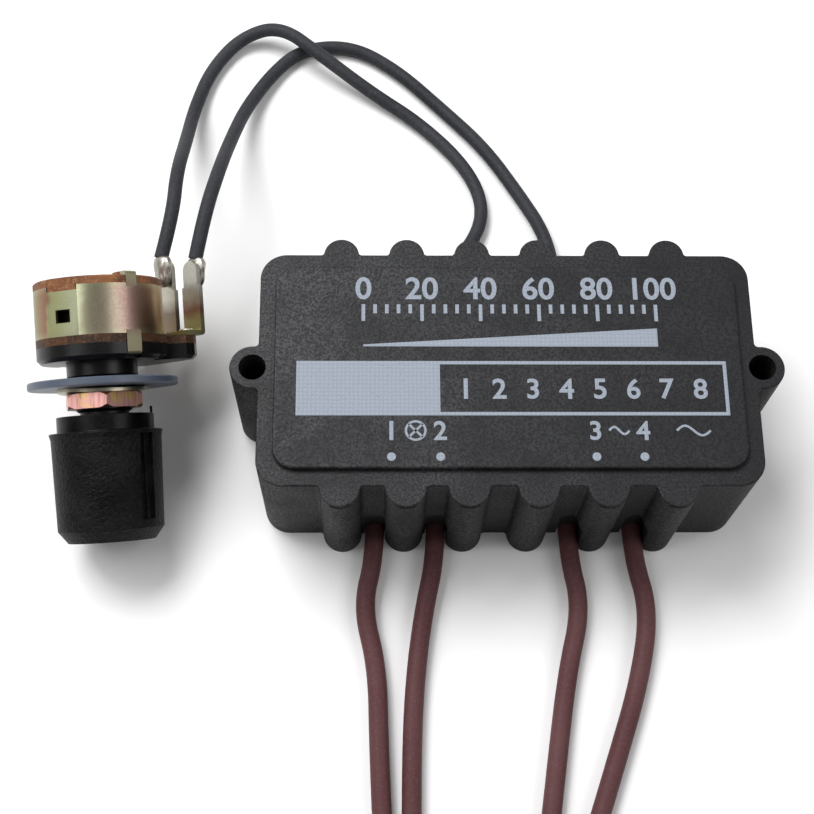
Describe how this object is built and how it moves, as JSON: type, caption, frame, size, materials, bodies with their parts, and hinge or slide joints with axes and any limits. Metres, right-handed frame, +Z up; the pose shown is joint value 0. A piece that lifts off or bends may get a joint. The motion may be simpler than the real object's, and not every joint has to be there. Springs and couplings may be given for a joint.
{
  "type": "dimmer switch module",
  "caption": "Ribbed potted dimmer module with screw lugs, flying power leads and a separate round potentiometer with a knob on two control leads.",
  "frame": {"origin": "middle of the module's underside, halfway between the two lug holes", "axes": "+X along the module, away from the potentiometer; -Y where the power leads leave; +Z up out of the printed top"},
  "size_m": [0.0923, 0.1783, 0.0236],
  "materials": {
    "housing": "moulded, fine matte",
    "potting": "poured resin, satin",
    "laminate_green": "resist over laminate",
    "triac_black": "moulded",
    "capacitor_yellow": "moulded",
    "capacitor_red": "dipped",
    "diac_blue": "glass body, painted",
    "resistor_beige": "lacquered",
    "copper": "bare copper",
    "laminate_brown": "phenolic paper laminate",
    "yellow_steel": "zinc plated, yellow passivated",
    "carbon": "printed carbon",
    "silvered": "printed silver",
    "pot_black": "moulded",
    "washer_grey": "translucent, smooth",
    "steel": "plain, satin",
    "nut_steel": "zinc plated, yellow and pink passivated",
    "shaft_black": "moulded",
    "rotor_dark": "moulded",
    "wiper_bronze": "spring bronze",
    "knob_black": "moulded, satin",
    "tinned": "tinned",
    "solder": "cast, bright",
    "lead_grey": "extruded insulation",
    "lead_brown": "extruded insulation"
  },
  "bodies": {
    "root": {"module_housing": "housing", "potting_compound": "potting", "circuit_board": "laminate_green", "triac": "triac_black", "suppression_capacitor": "capacitor_yellow", "timing_capacitor": "capacitor_red", "diac": "diac_blue", "timing_resistor": "resistor_beige", "suppression_resistor": "resistor_beige", "lead_cores": "copper", "pot_rear_cover": "laminate_brown", "pot_case": "yellow_steel", "track_board": "laminate_brown", "resistive_track": "carbon", "collector_ring": "silvered", "front_plate": "pot_black", "insulating_washer": "washer_grey", "lock_washer": "steel", "hex_nut": "nut_steel", "terminal_wiper": "tinned", "terminal_track": "tinned", "terminal_spare": "tinned", "terminal_rivets": "tinned", "control_lead_cores": "tinned", "solder_joint_wiper": "solder", "solder_joint_track": "solder", "control_lead_wiper": "lead_grey", "control_lead_track": "lead_grey", "load_lead_1": "lead_brown", "load_lead_2": "lead_brown", "supply_lead_1": "lead_brown", "supply_lead_2": "lead_brown", "load_lead_1_tip": "tinned", "load_lead_2_tip": "tinned", "supply_lead_1_tip": "tinned", "supply_lead_2_tip": "tinned"},
    "knob": {"knob": "knob_black", "shaft": "shaft_black", "rotor": "rotor_dark", "wiper": "wiper_bronze"}
  },
  "joints": [
    {"name": "knob_turn", "type": "hinge", "parent": "root", "child": "knob", "pos_m": [-0.0505, 0.01257, 0.01621], "axis": [0.0646, -0.9427, -0.3272], "range_deg": [-58, 242]}
  ]
}
